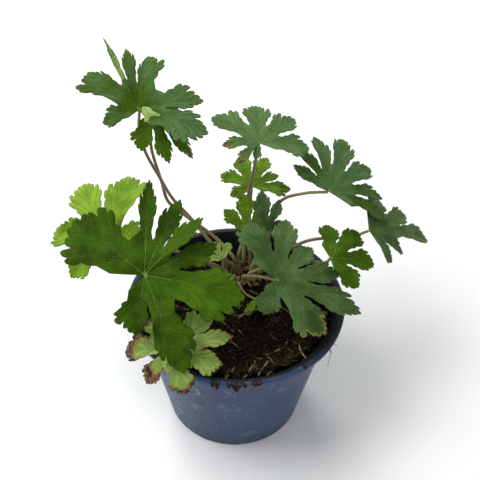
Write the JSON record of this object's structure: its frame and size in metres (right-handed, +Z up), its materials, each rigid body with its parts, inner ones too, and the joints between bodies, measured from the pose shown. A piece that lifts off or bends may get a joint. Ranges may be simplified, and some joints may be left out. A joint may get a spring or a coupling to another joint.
{
  "type": "potted geranium plant",
  "caption": "Leafy hardy geranium growing in a tapered round nursery pot filled with compost, standing on the pot's flat base.",
  "frame": {"origin": "centre of the pot's underside, where it stands on the ground", "axes": "+Z up along the pot's axis; -Y is the side the plant is looked at from; +X is to the right from there"},
  "size_m": [0.2366, 0.1692, 0.2168],
  "materials": {
    "pot": "smooth moulded blue-grey plastic, a little dusty, with specks of dried compost",
    "soil": "moist near-black compost with short tan fibres",
    "crown": "knobbly brown stub with dry tan scales",
    "leaf": "matt deep green leaf blade with pale veins, on a softly hairy stalk",
    "dull_leaf": "matt grey-green leaf blade with pale veins, on a softly hairy stalk",
    "young_leaf": "bright fresh green blade, satin",
    "old_leaf": "yellow-green blade with dry brown curled margins"
  },
  "bodies": {
    "root": {"pot": "pot", "soil": "soil", "crown": "crown", "leaf_top_left": "leaf", "leaf_top_left_under": "dull_leaf", "leaf_front_left": "leaf", "leaf_left_behind": "leaf", "leaf_top_centre": "dull_leaf", "leaf_centre_under": "leaf", "leaf_centre_young": "young_leaf", "leaf_centre_edge": "young_leaf", "leaf_right_upper": "leaf", "leaf_right_outer": "leaf", "leaf_right_small": "leaf", "leaf_front_right": "dull_leaf", "leaf_young_front": "young_leaf", "leaf_old_rim": "old_leaf", "leaf_young_left": "young_leaf"}
  },
  "joints": []
}
